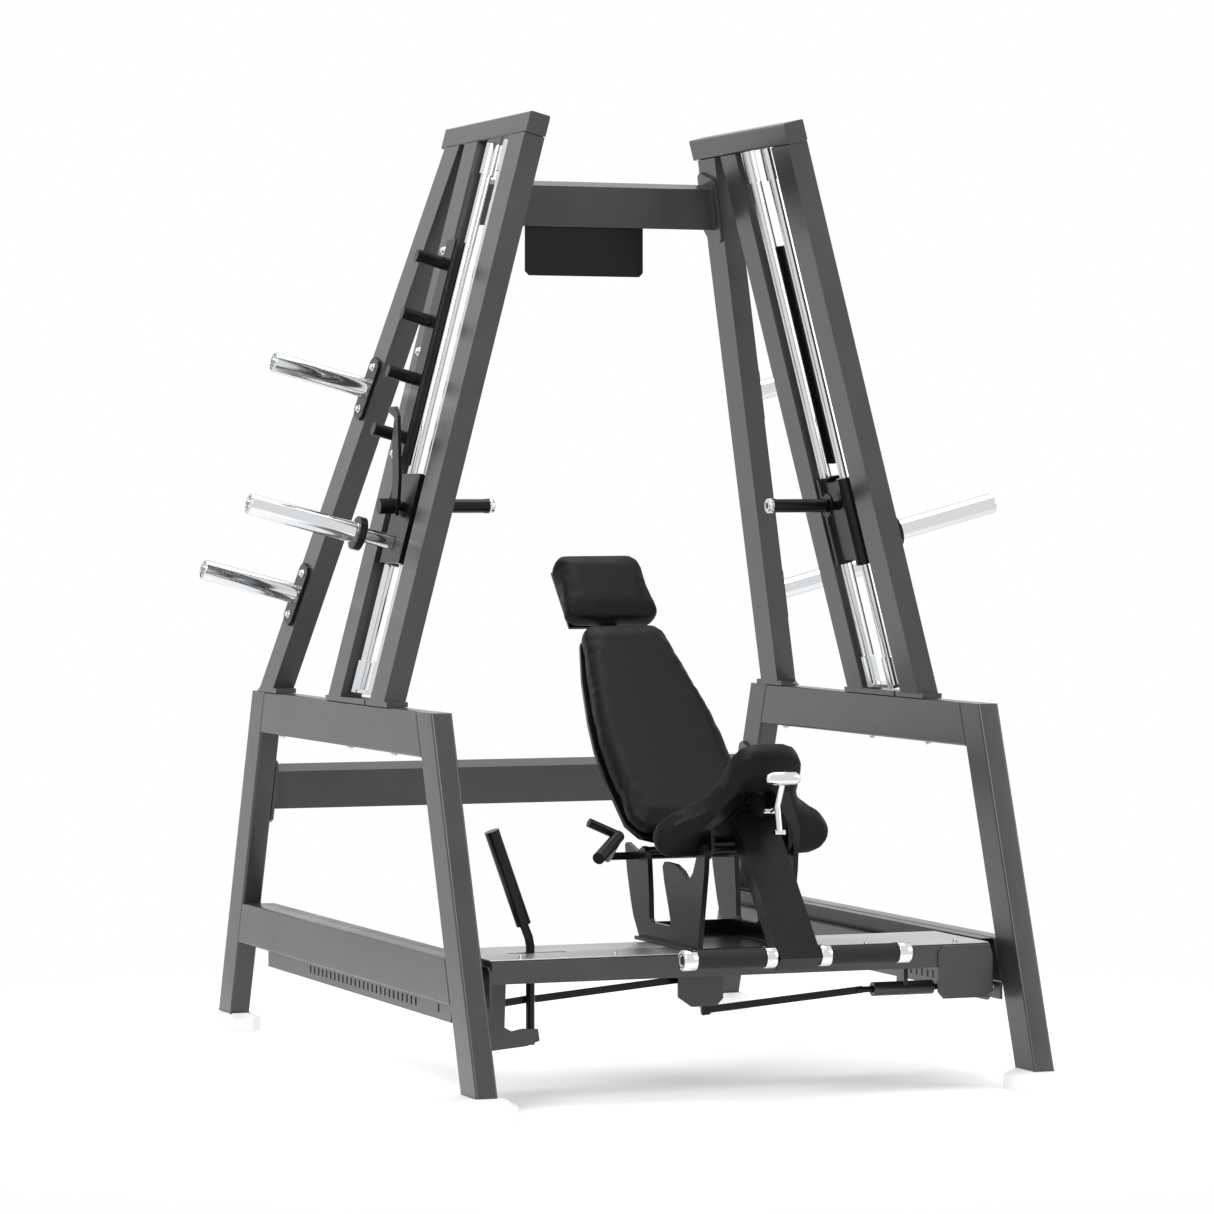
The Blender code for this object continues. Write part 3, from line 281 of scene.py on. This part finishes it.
def together(*shapes):
    """Several shapes as one list of points and one of faces."""
    points, faces, count = [], [], 0
    for shape_points, shape_faces in shapes:
        points.append(np.asarray(shape_points))
        faces += [[i + count for i in face] for face in shape_faces]
        count += len(shape_points)
    return np.vstack(points), faces


def bolt(place, axis, across=0.017, washer=0.013):
    """A cap-head bolt on a washer: a rounded head with a round, dished socket."""
    r = across / 2
    ring = [(washer, -0.0015), (washer, 0.0005), (washer - 0.001, 0.0016), (r * 0.5, 0.0016)]
    head = [(r, 0.0005), (r, 0.0055), (r - 0.0014, 0.0074), (r * 0.62, 0.0078), (r * 0.56, 0.0050),
            (r * 0.05, 0.0046)]
    return together(lathe(ring, place, axis, 28), lathe(head, place, axis, 24))


def bolts(name, body, spots, look, across=0.017, washer=0.013):
    """One piece that holds several bolts, each given as a place and the way that its head faces."""
    shapes = [bolt(np.asarray(place), np.asarray(axis, float), across, washer) for place, axis in spots]
    return place_piece(name, *together(*shapes), body, "chrome", look)


def repaint(obj, look, chosen):
    """Gives a second material to the faces that chosen picks from their centres."""
    obj.data.materials.append(look)
    centres = np.empty(len(obj.data.polygons) * 3)
    obj.data.polygons.foreach_get("center", centres)
    index = np.where(chosen(centres.reshape(-1, 3)), len(obj.data.materials) - 1, 0).astype(np.int32)
    obj.data.polygons.foreach_set("material_index", index)


def outwards(side):
    """A function that gives how far each point lies out from the tower's outer face."""
    out, _ = tower_axes(side)
    foot = tower_point(side, 0, 0, 0)
    return lambda points: (points - foot) @ out


TUBE = ("front_leg", "rear_leg", "top_beam", "lower_beam", "front_upright", "mid_upright", "rear_upright",
        "cap_beam")
# how far a point of each pad may move while the pad is blown up
PADS = {"back_pad": 0.014, "head_pad": 0.012, "seat_pad": 0.013}
PAD_INSET = 0.008                 # a pad starts this much smaller on every side, and swells
PAD_ROOM = 0.008                  # the most that a pad may stand past its CAD solid
VOXEL = 0.005
CLOTH_FRAMES = 20
for word, _ in SIDES:
    for stem in TUBE:
        soft_copy(f"{stem}_{word}", 0.006, 0.2)
made = {}
for name in nodes:
    if name not in PADS and not any(name == f"{stem}_{word}" for stem in TUBE for word, _ in SIDES):
        made[name] = soft_copy(name, 0.0015, 0.7)
for word, side in SIDES:
    depth = outwards(side)
    for level in ("upper", "lower"):
        repaint(made[f"{level}_storage_horn_{word}"], black_steel, lambda p, d=depth: d(p) < 0.0085)
    repaint(made[f"plate_sleeve_{word}"], black_steel,
            lambda p, d=depth: (d(p) > 0.0745) & (d(p) < 0.0935))


# ---- cushions ---------------------------------------------------------------------------------------
def shrunk_copy(node, inset):
    """The pad's closed CAD solid, every corner brought in by inset on each of the pad's own three axes."""
    mesh = nodes[node].data.copy()
    count = len(mesh.vertices)
    points = np.empty(count * 3)
    mesh.vertices.foreach_get("co", points)
    points = points.reshape(-1, 3)
    centre = (points.max(axis=0) + points.min(axis=0)) / 2
    axes = np.linalg.svd(points - points.mean(axis=0), full_matrices=False)[2]
    local = (points - centre) @ axes.T
    half = np.abs(local).max(axis=0)
    local *= 1 - np.minimum(inset, half * 0.3) / half
    mesh.vertices.foreach_set("co", (local @ axes + centre).ravel())
    mesh.update()
    return mesh


def apply_all(obj):
    """Puts an object's modifiers into its mesh."""
    graph = bpy.context.evaluated_depsgraph_get()
    made = bpy.data.meshes.new_from_object(obj.evaluated_get(graph))
    obj.modifiers.clear()
    obj.data = made


def read_points(mesh):
    """A mesh's corners as an array of three columns."""
    points = np.empty(len(mesh.vertices) * 3)
    mesh.vertices.foreach_get("co", points)
    return points.reshape(-1, 3)


def cushion(node, inset, cap):
    """A stuffed pad: its shrunken solid is remeshed and blown up as cloth, no point moving more than cap."""
    mesh = shrunk_copy(node, inset)
    obj = bpy.data.objects.new(node + "_upholstered", mesh)
    bpy.context.scene.collection.objects.link(obj)
    rounded = obj.modifiers.new("stuffed_corners", "BEVEL")
    rounded.width = 0.018
    rounded.segments = 5
    rounded.limit_method = "ANGLE"
    rounded.angle_limit = math.radians(50)
    remesh = obj.modifiers.new("even_skin", "REMESH")
    remesh.mode = "VOXEL"
    remesh.voxel_size = VOXEL
    apply_all(obj)
    start = read_points(obj.data)
    cloth = obj.modifiers.new("blown_up", "CLOTH")
    cloth.settings.use_pressure = True
    cloth.settings.uniform_pressure_force = 4
    cloth.settings.effector_weights.gravity = 0
    cloth.settings.tension_stiffness = cloth.settings.compression_stiffness = 40
    cloth.settings.bending_stiffness = 12
    for step in range(1, CLOTH_FRAMES + 1):
        bpy.context.scene.frame_set(step)
    apply_all(obj)
    bpy.context.scene.frame_set(1)
    moved = read_points(obj.data) - start
    far = np.linalg.norm(moved, axis=1, keepdims=True)
    moved *= np.minimum(1, cap / np.maximum(far, 1e-9))
    obj.data.vertices.foreach_set("co", (start + moved).ravel())
    obj.data.update()
    box_points = read_points(nodes[node].data)
    low, high = box_points.min(axis=0) - PAD_ROOM, box_points.max(axis=0) + PAD_ROOM
    obj.data.vertices.foreach_set("co", np.clip(read_points(obj.data), low, high).ravel())
    for face in obj.data.polygons:
        face.use_smooth = True
    tight = obj.modifiers.new("skin_pulled_tight", "SMOOTH")
    tight.factor = 0.5
    tight.iterations = 28
    smooth = obj.modifiers.new("fine_skin", "SUBSURF")
    smooth.levels = smooth.render_levels = 1
    apply_all(obj)
    keep(obj, body_of_node[node], slot_of_node[node], leather, node)
    return obj


for node, cap in PADS.items():
    cushion(node, PAD_INSET, cap)

# ---- small turned and bolted parts ------------------------------------------------------------------
def hollow_cap(r, start, axis, depth):
    """A chrome ferrule of radius r: a rounded sleeve end with a dished middle."""
    profile = [(r - 0.0004, -0.0002), (r + 0.0006, 0.0006), (r + 0.0006, depth - 0.003), (r - 0.002, depth),
               (r * 0.45, depth), (r * 0.38, depth - 0.003), (r * 0.04, depth - 0.003)]
    return lathe(profile, start, axis, 36)


RACK_BOLT_HEIGHTS = (0.578, 0.823, 1.065)        # up the tower
RACK_BOLT_Y = 0.016
RAIL_BOLT_YS = (-0.690, -0.560, 0.575)
RAIL_FACE, RAIL_BOLT_Z = HALF_WIDTH - 0.0275, 0.214
BEAM_BOLT_YS = (-0.342, -0.029, 0.490)           # under the three uprights
HORN_HEIGHTS = {"lower": 0.232, "upper": 0.740}  # up the tower
HORN_BOLT_REACH = 0.053                          # from the horn's axis, along the rear upright
REAR_SLOPE = 0.2956                              # the rear upright's, towards the front as it rises


def frame_bolts(word, side):
    """Bolts of one side frame and tower: peg rack, rail, top beam and horn plates."""
    out, up = tower_axes(side)
    rack = [(tower_point(side, 0.0022, RACK_BOLT_Y, height), out) for height in RACK_BOLT_HEIGHTS]
    bolts(f"peg_rack_bolts_{word}", "frame", rack, chrome, 0.014, 0.011)
    rail = [((side * RAIL_FACE, y + MIDDLE, RAIL_BOLT_Z), (-side, 0, 0)) for y in RAIL_BOLT_YS]
    bolts(f"rail_bolts_{word}", "frame", rail, zinc, 0.011, 0.008)
    under = [((side * (HALF_WIDTH - 0.025), y + MIDDLE, beam_low[2] - 0.0004), (0, 0, -1))
             for y in BEAM_BOLT_YS]
    bolts(f"beam_bolts_{word}", "frame", under, chrome, 0.015, 0.012)
    along = up + np.array((0, -REAR_SLOPE, 0))
    along /= np.linalg.norm(along)
    plates = []
    for level, height in HORN_HEIGHTS.items():
        low_corner, high_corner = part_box(f"{level}_storage_horn_{word}")
        centre = tower_point(side, 0.0082, (low_corner[1] + high_corner[1]) / 2 - MIDDLE, height)
        plates += [(centre + along * reach, out) for reach in (HORN_BOLT_REACH, -HORN_BOLT_REACH)]
    bolts(f"horn_plate_bolts_{word}", "frame", plates, chrome, 0.014, 0.010)


for word, side in SIDES:
    frame_bolts(word, side)

deck_low, deck_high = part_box("deck_plate")
edge_spots = [((x, deck_low[1] + 0.016, deck_high[2]), (0, 0, 1)) for x in (-0.52, -0.30, 0.30, 0.52)]
bolts("deck_edge_bolts", "platform", edge_spots, zinc, 0.009, 0.007)

low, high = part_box("foot_rollers")
axle_y, axle_z = (low[1] + high[1]) / 2, (low[2] + high[2]) / 2
roller_r = (high[2] - low[2]) / 2
ends = [hollow_cap(roller_r, (side * (high[0] - 0.0300), axle_y, axle_z), (side, 0, 0), 0.0306)
        for _, side in SIDES]
inner = [lathe([(roller_r + 0.0004, -0.0002), (roller_r + 0.0012, 0.0010), (roller_r + 0.0012, 0.0228),
                (roller_r + 0.0004, 0.0240)], (side * 0.052, axle_y, axle_z), (side, 0, 0), 40)
         for _, side in SIDES]
place_piece("roller_end_caps", *together(*ends, *inner), "seat", "chrome", chrome)

for word, side in SIDES:
    node_low, node_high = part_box(f"catch_handle_{word}")
    tip = node_low[0] if side > 0 else node_high[0]
    grip_y, grip_z = joints[f"catch_{word}_turn"]["pos_m"][1:]
    cap = hollow_cap(0.0172, (tip + side * 0.0120, grip_y, grip_z), (-side, 0, 0), 0.0126)
    place_piece(f"grip_end_cap_{word}", *cap, f"catch_{word}", "chrome", chrome)

# ---- floor, light and camera ------------------------------------------------------------------------
floor_mesh = bpy.data.meshes.new("studio_floor")
floor_mesh.from_pydata([(-14, -14, 0), (14, -14, 0), (14, 14, 0), (-14, 14, 0)], [], [(0, 1, 2, 3)])
floor = bpy.data.objects.new("studio_floor", floor_mesh)
bpy.context.scene.collection.objects.link(floor)
floor_look, tree, surface, place = start_material("matt_white_studio_floor", "#ffffff", 0.75)
FLOOR_CLEAR, FLOOR_GONE = 1.0, 2.4
# between those distances the floor turns into the background's own white, so that no horizon shows
distance = add(tree, "VectorMath", {"operation": "LENGTH"}, Vector=place).outputs["Value"]
fade = add(tree, "MapRange", {"From Min": FLOOR_CLEAR, "From Max": FLOOR_GONE, "To Min": 0.0, "To Max": 1.0},
           Value=distance)
glow = add(tree, "Emission", {"Color": (1.0, 1.0, 1.0, 1.0), "Strength": 1.0})
blend = tree.nodes.new("ShaderNodeMixShader")
tree.links.new(fade.outputs[0], blend.inputs[0])
tree.links.new(surface.outputs[0], blend.inputs[1])
tree.links.new(glow.outputs[0], blend.inputs[2])
tree.links.new(blend.outputs[0], tree.nodes["Material Output"].inputs[0])
floor_mesh.materials.append(floor_look)

world = bpy.data.worlds.new("studio")
bpy.context.scene.world = world
world.use_nodes = True
world.node_tree.nodes["Background"].inputs[0].default_value = linear("#ffffff")
world.node_tree.nodes["Background"].inputs[1].default_value = 1.0


def soft_light(name, place, aim, size, watts):
    """A rectangular softbox that faces a point."""
    lamp = bpy.data.lights.new(name, "AREA")
    lamp.shape = "RECTANGLE"
    lamp.size, lamp.size_y = size
    lamp.energy = watts
    obj = bpy.data.objects.new(name, lamp)
    obj.location = place
    obj.rotation_euler = (Vector(aim) - Vector(place)).to_track_quat("-Z", "Y").to_euler()
    bpy.context.scene.collection.objects.link(obj)


soft_light("key_softbox", (-4.5, -4.5, 4.8), (0, 0, 1.0), (3.0, 3.0), 260)
soft_light("fill_softbox", (5.0, -3.5, 3.0), (0, 0, 1.0), (3.0, 3.0), 90)
soft_light("top_softbox", (0, 0.5, 5.5), (0, 0, 0.5), (4.0, 4.0), 160)

camera = bpy.data.cameras.new("camera")
camera.sensor_width = 36
camera.lens = 139.86
camera.clip_end = 100
eye = bpy.data.objects.new("camera", camera)
eye.location = (-4.0594, -10.3432 + MIDDLE, 1.3213)
eye.rotation_euler = (math.radians(90 - 1.3232), 0, math.radians(-21.3577))
bpy.context.scene.collection.objects.link(eye)
bpy.context.scene.camera = eye
bpy.context.scene.view_settings.view_transform = "Standard"
